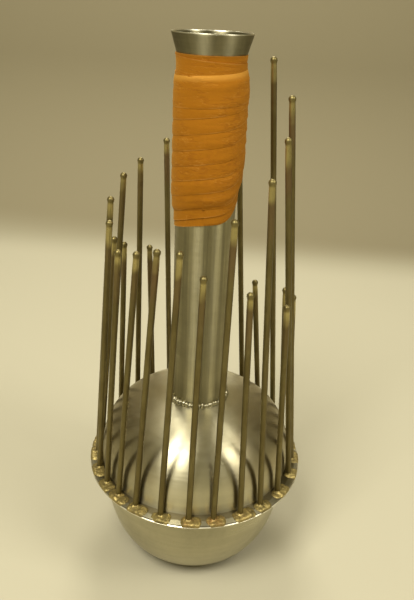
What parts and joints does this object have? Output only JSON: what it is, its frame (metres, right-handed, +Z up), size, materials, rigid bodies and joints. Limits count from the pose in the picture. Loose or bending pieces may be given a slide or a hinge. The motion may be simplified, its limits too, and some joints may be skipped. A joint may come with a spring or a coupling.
{
  "type": "water-filled friction idiophone",
  "caption": "Closed steel resonator with a flared neck and a tape grip, and bronze rods of many lengths brazed upright round its rim, to be bowed or struck.",
  "frame": {"origin": "middle of the flat that the bowl stands on", "axes": "+Z up along the neck's axis, -Y towards the player's side with the shortest front rods"},
  "size_m": [0.17, 0.17, 0.4],
  "materials": {
    "bowl_steel": "satin pressed stainless steel, lightly hazed",
    "dome_steel": "satin pressed stainless steel, spun marks, soft wide highlights",
    "neck_steel": "satin tube, fine marks along its length",
    "weld_steel": "bright rippled weld bead with heat tint beside it",
    "solder": "dull solder run",
    "braze": "cast-looking golden braze, reddish heat tint in places",
    "rod_bronze": "bronze with olive-brown patina, brighter near the tips",
    "orange_tape": "wound elastic tape, matt, creased"
  },
  "bodies": {
    "root": {"lower_bowl": "bowl_steel", "upper_dome": "dome_steel", "rim_solder": "solder", "neck_tube": "neck_steel", "neck_weld": "weld_steel", "grip_wrap": "orange_tape", "braze_fillets": "braze", "rod_01": "rod_bronze", "rod_02": "rod_bronze", "rod_03": "rod_bronze", "rod_04": "rod_bronze", "rod_05": "rod_bronze", "rod_06": "rod_bronze", "rod_07": "rod_bronze", "rod_08": "rod_bronze", "rod_09": "rod_bronze", "rod_10": "rod_bronze", "rod_11": "rod_bronze", "rod_12": "rod_bronze", "rod_13": "rod_bronze", "rod_14": "rod_bronze", "rod_15": "rod_bronze", "rod_16": "rod_bronze", "rod_17": "rod_bronze", "rod_18": "rod_bronze", "rod_19": "rod_bronze", "rod_20": "rod_bronze", "rod_21": "rod_bronze", "rod_22": "rod_bronze", "rod_23": "rod_bronze", "rod_24": "rod_bronze", "rod_25": "rod_bronze", "rod_26": "rod_bronze", "rod_27": "rod_bronze"}
  },
  "joints": []
}
